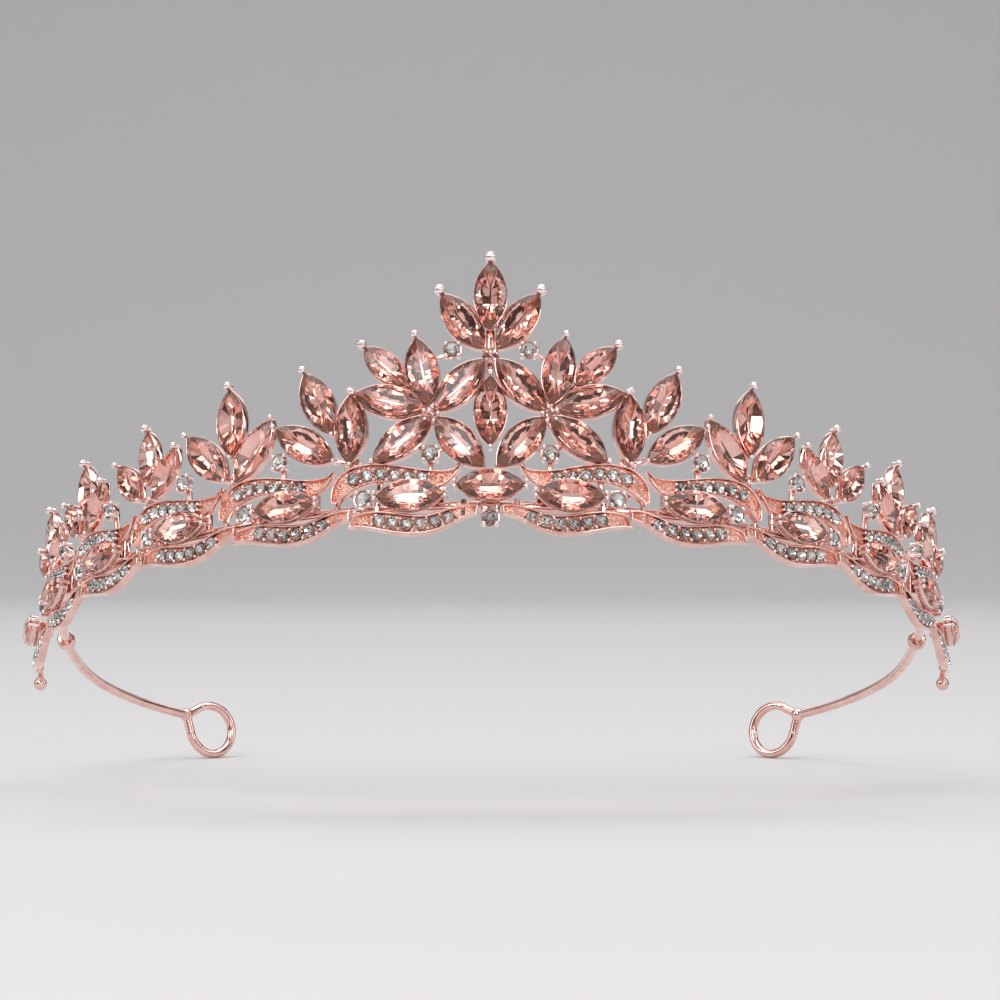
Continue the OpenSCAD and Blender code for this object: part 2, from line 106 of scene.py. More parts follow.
ACCENT_STEMS = [((5.5, 23.5), (8.0, 22.7)), ((5.5, 23.5), (5.2, 25.9)),
                ((8.6, 7.6), (8.8, 3.9)), ((8.6, 7.6), (6.5, 9.0)), ((8.6, 7.6), (10.5, 9.2)),
                ((31.6, 8.4), (31.4, 4.6)), ((49.2, 8.4), (49.0, 4.6)),
                ((67.4, 8.8), (67.2, 4.6)), ((86.0, 8.1), (85.8, 4.6))]
END_TAIL = [(19.7, -2.85, .62), (20.6, -2.9, .55), (21.6, -3.1, .5), (22.6, -3.35, .52),
            (23.4, -3.55, .6)]            # the stem behind the end bead: x, y, radius
# leaf outlines as cubic stretches: the upper border, then the lower one, both from the front end
UPPER_LEAF = ([[(4.1, 5.9), (5.2, 4.6), (7.5, 4.8), (10, 5.2)],
               [(10, 5.2), (13, 5.9), (17, 7.0), (20, 6.1)],
               [(20, 6.1), (22.4, 5.5), (23.5, 3.2), (23.0, 0.9)]],
              [[(4.1, 5.9), (4.5, 4.0), (6, 2.4), (8, 2.2)],
               [(8, 2.2), (10.2, 2.0), (12.8, 3.3), (15.1, 3.5)],
               [(15.1, 3.5), (18.5, 3.7), (21.3, 1.9), (22.3, 0.5)]])
LOWER_LEAF = ([[(1.6, -0.4), (4.0, 0.5), (7, -1.9), (10, -1.7)],
               [(10, -1.7), (13, -1.5), (17, 0.1), (19.6, -1.3)]],
              [[(1.8, -1.9), (5, -2.2), (6, -4.8), (11, -4.7)],
               [(11, -4.7), (14.5, -4.6), (17.5, -2.9), (20.5, -3.2)]])
END_LEAF = ([[(1.5, -0.9), (4.2, -0.1), (7, -1.6), (10, -1.5)],
             [(10, -1.5), (14, -1.4), (18, -1.0), (20.5, -2.2)]],
            [[(1.8, -1.9), (5, -2.2), (6, -4.5), (11, -4.6)],
             [(11, -4.6), (14, -4.8), (17, -4.4), (20.5, -3.6)]])
UPPER_PAVE = [(9.7, 3.85), (11.7, 4.1), (13.7, 4.45), (15.7, 4.75), (17.7, 4.75), (19.7, 4.35)]
LOWER_PAVE = [(5.9, -2.35), (7.9, -2.9), (9.9, -3.15), (11.9, -3.1), (13.9, -2.75), (15.9, -2.3)]
END_PAVE = [(5.9, -2.3), (7.9, -2.8), (9.9, -3.05), (11.9, -3.05), (13.9, -2.95),
            (15.9, -2.85), (17.9, -2.8)]


# ---------------------------------------------------------------- places
def shift(x=0.0, y=0.0, z=0.0):
    m = np.eye(4)
    m[:3, 3] = (x, y, z)
    return m


def turn(axis, degrees):
    a = math.radians(degrees)
    c, s = math.cos(a), math.sin(a)
    i, j = [(1, 2), (2, 0), (0, 1)][axis]
    m = np.eye(4)
    m[i, i] = m[j, j] = c
    m[i, j], m[j, i] = -s, s
    return m


WORN = turn(0, -LEAN)
SIDES = {1: np.eye(4), -1: np.diag([-1.0, 1, 1, 1])}


def heading(s):
    """Direction in which the band faces at an arc length, 0 at the front."""
    if abs(s) <= OPEN_START:
        return math.degrees(s / BAND_R)
    return math.copysign(OPEN_ANGLE + math.degrees((abs(s) - OPEN_START) / OPEN_R), s)


def band_point(s):
    h, o = math.radians(heading(abs(s))), math.radians(OPEN_ANGLE)
    if abs(s) <= OPEN_START:
        x, y = BAND_R * math.sin(h), -BAND_R * math.cos(h)
    else:
        x = BAND_R * math.sin(o) + OPEN_R * (math.sin(h) - math.sin(o))
        y = -BAND_R * math.cos(o) + OPEN_R * (math.cos(o) - math.cos(h))
    return math.copysign(x, s) if s else x, y


def on_band(s, h=0.0, side=1):
    """x along the band, y up, z outward, at an arc length and a height."""
    droop = DROOP_RATE * max(0.0, abs(s) - DROOP_START) ** 2
    x, y = band_point(s)
    upright = turn(2, heading(s)) @ turn(0, 90)
    return WORN @ SIDES[side] @ shift(x, y) @ upright @ shift(0, h - droop)


def in_spray(hub, c, h, side=1):
    """A place in the flat plane of the spray whose hub is at an arc length."""
    return on_band(hub, 0, side) @ shift(c - hub, h)


def at_petal(hub, p, side=1):
    return in_spray(hub, p[0], p[1], side) @ turn(2, -p[2])


def curve_r(s):
    return BAND_R if abs(s) <= OPEN_START else OPEN_R


def on_leaf(origin, s, h, side=1):
    """A place on the arc of the leaf that starts at origin, at an arc length and a height."""
    middle = origin + LEAF_MIDDLE
    r = curve_r(middle)
    along = turn(1, math.degrees((s - middle) / r))
    return on_band(middle, 0, side) @ shift(0, 0, -r) @ along @ shift(0, h, r)


# ---------------------------------------------------------------- mesh building
SHARP_ANGLE = 40


class Cast:
    """Collects shapes, each a (points, faces, material index, smooth) list, into one mesh."""

    def __init__(self):
        self.points, self.faces, self.mats, self.smooth, self.count = [], [], [], [], 0

    def add(self, shape, m=None):
        for points, faces, mat, smooth in shape:
            p = np.asarray(points, float)
            flip = False
            if m is not None:
                p = p @ m[:3, :3].T + m[:3, 3]
                flip = np.linalg.det(m[:3, :3]) < 0
            self.points.append(p)
            for f in faces:
                g = [i + self.count for i in f]
                self.faces.append(g[::-1] if flip else g)
            self.mats += [mat] * len(faces) if isinstance(mat, int) else list(mat)
            self.smooth += [smooth] * len(faces)
            self.count += len(p)
        return self

    def make(self, name, materials, slot, replaced):
        """Turns the shapes into a piece on the root body, in place of the CAD node replaced."""
        mesh = bpy.data.meshes.new(name)
        mesh.from_pydata((np.vstack(self.points) * MM).tolist(), [], self.faces)
        mesh.polygons.foreach_set("material_index", self.mats)
        mesh.polygons.foreach_set("use_smooth", self.smooth)
        mesh.update()
        if any(self.smooth):
            mesh.set_sharp_from_angle(angle=math.radians(SHARP_ANGLE))
        for m in materials:
            mesh.materials.append(m)
        obj = bpy.data.objects.new(name, mesh)
        bpy.context.scene.collection.objects.link(obj)
        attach(obj, "root")
        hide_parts(replaced)


def placed(shape, m):
    return [(q @ m[:3, :3].T + m[:3, 3], f, mat, smooth) for q, f, mat, smooth in shape]


def strip(rings, loop=False):
    """Skin over rings of the same number of points. loop: the last ring joins the first."""
    n, rows = len(rings[0]), len(rings)
    faces = []
    for k in range(rows if loop else rows - 1):
        a, b = k * n, ((k + 1) % rows) * n
        for i in range(n):
            j = (i + 1) % n
            faces.append((a + i, a + j, b + j, b + i))
    return np.vstack(rings), faces


def lathe(profile, steps, mat=POLISHED):
    """Turned form with flat ends. profile: (radius, z) from the bottom to the top."""
    a = np.linspace(0, 2 * np.pi, steps, endpoint=False)
    points, faces = strip([np.column_stack([r * np.cos(a), r * np.sin(a), np.full(steps, z)])
                           for r, z in profile])
    last = (len(profile) - 1) * steps
    faces += [tuple(range(steps))[::-1], tuple(range(last, last + steps))]
    return [(points, faces, mat, True)]


def ball(r, z, rows=15, steps=28):
    """Bead, with tiny flats for poles."""
    return lathe([(max(r * math.sin(a), 1e-4), z - r * math.cos(a))
                  for a in np.linspace(0, math.pi, rows)], steps)


def pin(r, top, ball_r, bottom=0.0):
    """A post that ends in a bead."""
    up = [(r, bottom), (r, top - ball_r * 0.7)]
    cap = [(ball_r * math.sin(a), top + ball_r * math.cos(a)) for a in np.linspace(2.35, 0.02, 9)]
    return lathe(up + cap, 20, BEAD)


def tube(path, radii, steps=10):
    """Round bar along points, with a radius at each."""
    path = np.asarray(path, float)
    t = np.gradient(path, axis=0)
    t /= np.linalg.norm(t, axis=1)[:, None]
    up = np.array([0, 0, 1.0])
    a = np.linspace(0, 2 * np.pi, steps, endpoint=False)
    rings = []
    for point, ahead, r in zip(path, t, radii):
        across = np.cross(ahead, up)
        across /= np.linalg.norm(across)
        up = np.cross(across, ahead)
        rings.append(point + r * (np.outer(np.cos(a), across) + np.outer(np.sin(a), up)))
    points, faces = strip(rings)
    last = (len(path) - 1) * steps
    faces += [tuple(range(steps)), tuple(range(last, last + steps))[::-1]]
    return [(points, faces, POLISHED, True)]


BAR_SECTION = [(-.5, -.3), (-.42, -.42), (-.3, -.5), (.3, -.5), (.42, -.42), (.5, -.3),
               (.5, .3), (.42, .42), (.3, .5), (-.3, .5), (-.42, .42), (-.5, .3)]


def bar(a, b, w=0.9, t=0.8, top=0.0):
    """Rounded flat bar of width w and thickness t at the back of a spray, from a to b."""
    d = np.array(b, float) - np.array(a, float)
    length = np.linalg.norm(d)
    taper, end_scale = 0.12, 0.8
    rings = [np.array([[x * w * k, y, top - t / 2 + z * t * k] for x, z in BAR_SECTION])
             for y, k in ((0, end_scale), (taper, 1), (length - taper, 1), (length, end_scale))]
    points, faces = strip(rings)
    n = len(BAR_SECTION)
    faces += [tuple(range(n)), tuple(range(3 * n, 4 * n))[::-1]]
    aimed = shift(*a) @ turn(2, -math.degrees(math.atan2(d[0], d[1])))
    return placed([(points, faces, POLISHED, True)], aimed)


# ---------------------------------------------------------------- crystals
def lens_point(l, w, t, d=0.0):
    """Point on a marquise outline, t from 0 at the top tip right round to 4, d outside it."""
    r = (l * l + w * w) / (4 * w)
    c = r - w / 2
    tip = math.sqrt((r + d) ** 2 - c * c)
    t = t % 4
    side = 1 if t < 2 else -1
    u = (1 - t) if t < 2 else (t - 3)
    y = tip * math.sin(u * math.pi / 4) / math.sin(math.pi / 4)
    return side * (math.sqrt(max((r + d) ** 2 - y * y, 0)) - c), y


def lens_loop(l, w, d, z, n=44):
    return np.array([(*lens_point(l, w, 4 * i / n, d), z) for i in range(n)])


def layers(rows):
    """Points of rows of (x, y), each row at its own z, and the numbers of the points in each."""
    points, numbers = [], []
    for row, z in rows:
        numbers.append(range(len(points), len(points) + len(row)))
        points += [(*q, z) for q in row]
    return np.array(points), numbers


def cut_stone(points, faces, mats):
    """The outlines run clockwise seen from the front, so the faces are turned to point out."""
    return [(points, [tuple(q)[::-1] for q in faces], mats, False)]


def round_stone(r, z0, high, keel_z):
    """Round brilliant on a seat at z0: its table is at z0 + high and its keel at z0 + keel_z."""
    n = STONE_SIDES
    table_scale, keel_scale = 0.56, 0.02
    z_keel, z_low, z_high, z_top = z0 + keel_z, z0 + high * 0.42, z0 + high * 0.5, z0 + high
    edge = [r * np.array([math.sin(k * math.pi / n), math.cos(k * math.pi / n)])
            for k in range(2 * n)]
    main, half = edge[::2], edge[1::2]
    points, (top, mid, hi, lo, deep, keel) = layers([
        ([q * table_scale for q in main], z_top),
        ([0.55 * q + 0.45 * q * table_scale * 1.05 for q in half],
         z_high + 0.56 * (z_top - z_high)),
        (edge, z_high),
        (edge, z_low),
        ([q * 0.62 for q in half], z_low + 0.42 * (z_keel - z_low)),
        ([q * keel_scale for q in main], z_keel)])
    faces, mats = [], []
    for j in range(n):
        i, p = (j + 1) % n, (j - 1) % n
        a, b, c = 2 * j, 2 * j + 1, (2 * j + 2) % (2 * n)
        crown = [(top[j], mid[j], top[i]), (top[j], mid[p], hi[a]), (top[j], hi[a], mid[j]),
                 (mid[j], hi[a], hi[b]), (mid[j], hi[b], hi[c])]
        belt = [(hi[a], lo[a], lo[b], hi[b]), (hi[b], lo[b], lo[c], hi[c])]
        pavilion = [(lo[a], deep[j], lo[b]), (lo[b], deep[j], lo[c]),
                    (lo[a], keel[j], deep[j]), (deep[j], keel[j], keel[i]),
                    (deep[j], keel[i], lo[c])]
        faces += crown + belt + pavilion
        mats += [GLASS] * (len(crown) + len(belt)) + [FOIL] * len(pavilion)
    return cut_stone(points, faces + [tuple(top), tuple(keel)[::-1]], mats + [GLASS, FOIL])


def marquise(l, w, deep=1.15):
    """Boat shaped stone with few, large facets; the foil at its two tips is painted deeper in
    colour, a painted reflection standing for the colour that light bouncing inside the narrow tips
    builds up.
    """
    n = STONE_SIDES
    z_low, z_high = GIRDLE_Z, GIRDLE_Z + GIRDLE_T
    z_top = z_high + CROWN_H * w / LARGE[1]
    edge = [np.array(lens_point(l, w, 4 * k / (2 * n), -STONE_GAP)) for k in range(2 * n)]
    main = edge[::2]
    points, (table, hi, lo, keel) = layers([
        ([q * TABLE_SCALE for q in main], z_top),
        (edge, z_high),
        (edge, z_low),
        ([q * KEEL_SCALE for q in main], z_low - deep)])
    faces, mats = [], []
    for j in range(n):
        i = (j + 1) % n
        a, b, c = 2 * j, 2 * j + 1, (2 * j + 2) % (2 * n)
        faces += [(table[j], hi[b], table[i]), (table[j], hi[a], hi[b]), (table[i], hi[b], hi[c]),
                  (hi[a], lo[a], lo[b], hi[b]), (hi[b], lo[b], lo[c], hi[c])]
        mats += [GLASS] * 5
        faces += [(lo[a], keel[j], lo[b]), (lo[b], keel[i], lo[c]), (lo[b], keel[j], keel[i])]
        # facets at the two tips take the foil painted deeper, a painted reflection of light
        # bouncing inside the tip
        mats += [TIP_PAINTED_FOIL if k % 4 == 0 else FOIL for k in (j, i)] + [FOIL]
    return cut_stone(points, faces + [tuple(table), tuple(keel)[::-1]], mats + [GLASS, FOIL])


# ---------------------------------------------------------------- settings
def petal_size(p):
    return LARGE if p[3] else SMALL


def marquise_cup(l, w, back):
    """Thin wall round a marquise crystal, turned in below it and open at the back."""
    section = [(-.05, CUP_TOP - .18), (0.0, CUP_TOP - .03), (.05, CUP_TOP), (.11, CUP_TOP - .02),
               (.15, CUP_TOP - .09), (.15, back + .30), (.11, back + .08), (.02, back),
               (-.62, back), (-.70, back + .08), (-.62, back + .16), (-.16, back + .22)]
    points, faces = strip([lens_loop(l, w, d, z) for d, z in section], loop=True)
    return [(points, [q[::-1] for q in faces], POLISHED, True)]


def petal_casting(p, back=-0.25):
    """Cup of one petal, with a bead on a post at its tip where the petal has one."""
    l, w = petal_size(p)
    bead = p[4]
    shape = marquise_cup(l, w, back)
    if bead:
        post = pin(bead * 0.72, 1.70, bead, 0.75)
        shape += placed(post, shift(0, l / 2 + 0.2 + bead * 0.4))
    return shape


def claw_cup(r=ROUND_R):
    """Cup of a round stone with four beaded claws."""
    section = [(.2, 0), (r * .78, 0), (r * .92, .35), (r + .2, .95), (r + .26, 1.22), (r + .2, 1.3),
               (r + .08, 1.28), (r, 1.12), (r * .9, .6), (.2, .45)]
    cup = lathe(section, 32)
    for a in (45, 135, 225, 315):
        cup += placed(pin(.27, 1.5, .36, .25), turn(2, a) @ shift(r + .17))
    return cup


# ---------------------------------------------------------------- leaves
RIM_STEPS = np.array([0, .06, .18, .34, .5, .66, .82, .94, 1.0, 1.12])    # in widths of the edge
STEPS_ALONG, STEPS_ACROSS = 90, 11
BACK_STEPS = 4


def bezier(p, t):
    p = np.array(p, float)
    return ((1 - t) ** 3 * p[0] + 3 * (1 - t) ** 2 * t * p[1] + 3 * (1 - t) * t * t * p[2]
            + t ** 3 * p[3])


def border(stretches):
    pts = np.array([bezier(s, t) for s in stretches for t in np.linspace(0, 1, 40)])
    keep = np.r_[True, np.linalg.norm(np.diff(pts, axis=0), axis=1) > 1e-6]
    return pts[keep]


def sampled(pts, where):
    """Points at shares of the length of a line."""
    d = np.r_[0, np.cumsum(np.linalg.norm(np.diff(pts, axis=0), axis=1))]
    return np.column_stack([np.interp(where * d[-1], d, pts[:, k]) for k in (0, 1)])


def leaf_front(edges, seed):
    """Grid of (x, y, z) over a leaf, and which of its points are on the sunk floor."""
    top, low = border(edges[0]), border(edges[1])
    length = np.linalg.norm(np.diff(top, axis=0), axis=1).sum()
    ends = RIM_STEPS * EDGE_W / length
    shares = np.r_[ends, np.linspace(ends[-1], 1 - ends[-1], STEPS_ALONG)[1:-1], 1 - ends[::-1]]
    grid, floor = [], []
    for u, a, b in zip(shares, sampled(top, shares), sampled(low, shares)):
        w = max(np.linalg.norm(b - a), 1e-4)
        e = min(EDGE_W, 0.42 * w)
        inset = RIM_STEPS[-1] * e
        d = np.r_[RIM_STEPS * e, np.linspace(inset, w - inset, STEPS_ACROSS)[1:-1],
                  w - RIM_STEPS[::-1] * e]
        from_edge = np.minimum(d, w - d)
        from_end = min(u, 1 - u) * length
        rim = np.clip(1 - ((from_edge - e / 2) / (e / 2)) ** 2, 0, 1) ** .5
        end_rim = 0
        if from_end < EDGE_W:
            end_rim = max(0.0, 1 - ((from_end - EDGE_W / 2) / (EDGE_W / 2)) ** 2) ** .5
        on_floor = (from_edge > e) & (from_end > EDGE_W)
        rise = np.maximum(rim * (from_edge <= e), end_rim)
        row = []
        for dk, rise_k, sunk in zip(d, rise, on_floor):
            x, y = a + (b - a) * dk / w
            z = LEAF_T + EDGE_H * rise_k
            if sunk:
                lump = noise.noise(Vector((x * LUMP_SCALE + seed, y * LUMP_SCALE, seed * 1.7)))
                z = LEAF_T - FLOOR_SINK + LUMP_H * lump
            row.append((x, y, z))
        grid.append(row)
        floor.append(on_floor)
    return np.array(grid), np.array(floor)


def leaf_shape(edges, origin, seed):
    """Closed leaf with a raised edge and a grained floor, bent to the band about its middle."""
    r = curve_r(origin + LEAF_MIDDLE)
    grid, floor = leaf_front(edges, seed)
    nu, nv = grid.shape[:2]

    def bent(p):
        angle = np.arcsin((p[..., 0] - LEAF_MIDDLE) / r)
        out = r + p[..., 2]
        x, z = out * np.sin(angle), out * np.cos(angle) - r
        return np.stack([x, p[..., 1], z], -1).reshape(-1, 3)

    faces, mats = [], []
    for i in range(nu - 1):
        for k in range(nv - 1):
            q = i * nv + k
            faces.append((q, q + 1, q + nv + 1, q + nv))
            mats.append(GRAINED if floor[i:i + 2, k:k + 2].all() else POLISHED)

    back = grid[:, [0, nv // 4, nv // 2, 3 * nv // 4, nv - 1]].copy()
    back[..., 2] = LEAF_BACK
    base, nb = nu * nv, BACK_STEPS + 1
    for i in range(nu - 1):
        for k in range(BACK_STEPS):
            q = base + i * nb + k
            faces.append((q, q + nb, q + nb + 1, q + 1))
        for front_k, back_k, way in ((0, 0, 1), (nv - 1, BACK_STEPS, -1)):
            faces.append((i * nv + front_k, (i + 1) * nv + front_k,
                          base + (i + 1) * nb + back_k, base + i * nb + back_k)[::way])
    for i, way in ((0, -1), (nu - 1, 1)):
        front_end = [i * nv + k for k in range(nv)]
        back_end = [base + i * nb + k for k in range(nb)]
        faces.append(tuple(front_end + back_end[::-1])[::way])
    mats += [POLISHED] * (len(faces) - len(mats))
    return [(np.vstack([bent(grid), bent(back)]), faces, mats, True)]


def leaf_beads(pave, origin, side, out):
    """Beads beside and between the pave stones of a leaf, and two at each end of the row."""
    for (x0, y0), (x1, y1) in zip(pave, pave[1:]):
        mx, my = (x0 + x1) / 2, (y0 + y1) / 2
        dx, dy = x1 - x0, y1 - y0
        n = math.hypot(dx, dy)
        for s in (1, -1):
            out.add(pin(.2, LEAF_T + .32, .27, LEAF_T - .3),
                    on_leaf(origin, origin + mx - s * dy / n * .78, my + s * dx / n * .78, side))
    for (x, y), s in ((pave[0], -1), (pave[-1], 1)):
        for h in (.45, -.45):
            out.add(pin(.2, LEAF_T + .3, .25, LEAF_T - .3),
                    on_leaf(origin, origin + x + s * 1.0, y + h, side))


# ---------------------------------------------------------------- materials
def node_material(name):
    m = bpy.data.materials.new(name)
    m.use_nodes = True
    return m, m.node_tree, m.node_tree.nodes["Principled BSDF"]


def add_node(nt, kind, **values):
    """A shader node whose inputs or properties take the values given by name."""
    n = nt.nodes.new(kind)
    for k, v in values.items():
        if k in n.inputs:
            n.inputs[k].default_value = v
        else:
            setattr(n, k, v)
    return n


def ramp(nt, fac, stops):
    """Colour ramp fed by fac. stops: (position, colour)."""
    r = add_node(nt, "ShaderNodeValToRGB")
    els = r.color_ramp.elements
    while len(els) < len(stops):
        els.new(0.5)
    for e, (pos, col) in zip(els, stops):
        e.position, e.color = pos, (*col, 1)
    nt.links.new(fac, r.inputs["Fac"])
    return r.outputs["Color"]


def grey(v):
    return (v, v, v)


def metal(name, dark, light, rough, grain_scale, grain_depth, cells=False, metallic=1.0):
    """Metal between two colours and two roughnesses, with a fine bump; cells gives it pits."""
    m, nt, bsdf = node_material(name)
    bsdf.inputs["Metallic"].default_value = metallic
    where = add_node(nt, "ShaderNodeTexCoord").outputs["Object"]
    broad = add_node(nt, "ShaderNodeTexNoise", Scale=420.0, Detail=3.0)
    fine = add_node(nt, "ShaderNodeTexNoise", Scale=grain_scale, Detail=2.0)
    nt.links.new(where, broad.inputs["Vector"])
    nt.links.new(where, fine.inputs["Vector"])
    nt.links.new(ramp(nt, broad.outputs["Fac"], [(.35, dark), (.65, light)]),
                 bsdf.inputs["Base Color"])
    nt.links.new(ramp(nt, fine.outputs["Fac"], [(.3, grey(rough[0])), (.75, grey(rough[1]))]),
                 bsdf.inputs["Roughness"])
    height = fine.outputs["Fac"]
    if cells:
        cell = add_node(nt, "ShaderNodeTexVoronoi", Scale=grain_scale * .8)
        nt.links.new(where, cell.inputs["Vector"])
        height = cell.outputs["Distance"]
    bump = add_node(nt, "ShaderNodeBump", Strength=1.0, Distance=grain_depth)
    nt.links.new(height, bump.inputs["Height"])
    nt.links.new(bump.outputs["Normal"], bsdf.inputs["Normal"])
    return m


def glass(name, tint, ior):
    """Clear tinted glass with a trace of wear."""
    m, nt, bsdf = node_material(name)
    bsdf.inputs["Transmission Weight"].default_value = 1.0
    bsdf.inputs["IOR"].default_value = ior
    where = add_node(nt, "ShaderNodeTexCoord").outputs["Object"]
    wear = add_node(nt, "ShaderNodeTexNoise", Scale=900.0, Detail=2.0)
    nt.links.new(where, wear.inputs["Vector"])
    nt.links.new(ramp(nt, wear.outputs["Fac"], [(.3, [c * .96 for c in tint]), (.7, tint)]),
                 bsdf.inputs["Base Color"])
    nt.links.new(ramp(nt, wear.outputs["Fac"], [(.55, grey(0.0)), (.9, grey(.05))]),
                 bsdf.inputs["Roughness"])
    return m


def foil(name, dark, light, rough=(.03, .1), metallic=1.0):
    """The mirror behind a crystal, seen through the glass."""
    return metal(name, dark, light, rough, 900.0, 0.0000006, metallic=metallic)


ROSE = metal("rose_gold_polished", (.84, .51, .45), (.96, .68, .62), (.05, .15), 2600.0, 0.000008)
GRAIN = metal("rose_gold_grained", (.82, .33, .24), (.95, .54, .44), (.20, .40), 3600.0, 0.00012,
              cells=True)
# beads: the same rose gold painted paler and creamier, a painted highlight standing for the bright
# reflections on their round tops
SHEEN_PAINTED_ROSE = metal("rose_gold_painted_sheen", (.95, .79, .77), (1.0, .88, .87), (.04, .12), 2600.0, 0.000006)
PEACH = glass("peach_crystal_glass", (1.0, .925, .90), 1.52)
PEACH_FOIL = foil("peach_crystal_foil", (1.0, .51, .44), (1.0, .72, .66), (.005, .03), 0.92)
# tip foil painted deeper orange: a painted reflection for the colour that repeated bounces inside a
# narrow tip build up
PEACH_TIP_REFLECTION_PAINT = foil("peach_crystal_tip_painted_reflection", (1.0, .46, .32), (1.0, .60, .46), (.005, .03), 0.72)
CLEAR = glass("clear_crystal_glass", (1.0, .985, .97), 1.55)
SILVER_FOIL = foil("silver_foil", (.40, .39, .38), (.80, .79, .77))
METALS = (ROSE, GRAIN, SHEEN_PAINTED_ROSE)
PEACHES = (PEACH, PEACH_FOIL, PEACH_TIP_REFLECTION_PAINT)
CLEARS = (CLEAR, SILVER_FOIL)

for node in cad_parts.values():
    node.data.materials.clear()
    node.data.materials.append(ROSE)

# ---------------------------------------------------------------- the pieces
GEMS = {1: marquise(*LARGE), 0: marquise(*SMALL)}


def gem_at(out, hub, p, side=1):
    out.add(GEMS[p[3]], at_petal(hub, p, side))


HUB_SECTION = [(.1, -.8), (1.15, -.8), (1.35, -.6), (1.35, -.2), (1.15, 0), (.55, 0), (.45, -.35),
               (.1, -.4)]


def hub_beads(out, hub, side, ring, r, count, start, top=.55):
    """Boss at the hub of a spray, with beads of radius r in a ring on it."""
    m0 = in_spray(hub[0], hub[0], hub[1], side)
    out.add(lathe(HUB_SECTION, 24), m0)
    for k in range(count):
        a = math.radians(start + 360 * k / count)
        out.add(pin(r * .8, top, r, -.6), m0 @ shift(ring * math.cos(a), ring * math.sin(a)))


def spray_bar(out, hub, a, b, side=1, **kw):
    """Bar in the plane of a spray, between two places on the band."""
    out.add(bar((a[0] - hub, a[1]), (b[0] - hub, b[1]), **kw), on_band(hub, 0, side))


def inner(p, share):
    """Place on a petal's axis, towards its hub by a share of its length."""
    l = petal_size(p)[0]
    a = math.radians(p[2])
    return p[0] - share * l * math.sin(a), p[1] - share * l * math.cos(a)


# the peak
crown, crown_gems = Cast(), Cast()
for p in CROWN:
    crown.add(petal_casting(p), at_petal(0, p))
    gem_at(crown_gems, 0, p)
hub_beads(crown, CROWN_HUB, 1, .75, .36, 3, 90)
spray_bar(crown, 0, CROWN_HUB, (0, 9.4))
spray_bar(crown, 0, CROWN_HUB, (0, 27.2), w=1.2)
for s in (1, -1):
    spray_bar(crown, 0, (.3 * s, 22.9), (1.7 * s, 24.8))
crown.make("crown_casting", METALS, "rose_gold", "crown_setting")
crown_gems.make("crown_gems", PEACHES, "peach_crystal", "crown_crystals")

# the drop under it
drop = Cast().add(petal_casting(DROP, 0), at_petal(0, DROP))
drop.add(pin(.28, 1.6, .4), in_spray(0, 0, DROP[1] - LARGE[0] / 2 - .35))
drop.make("drop_casting", METALS, "rose_gold", "drop_setting")
drop_gem = Cast()
gem_at(drop_gem, 0, DROP)
drop_gem.make("drop_gem", PEACHES, "peach_crystal", "drop_crystal")

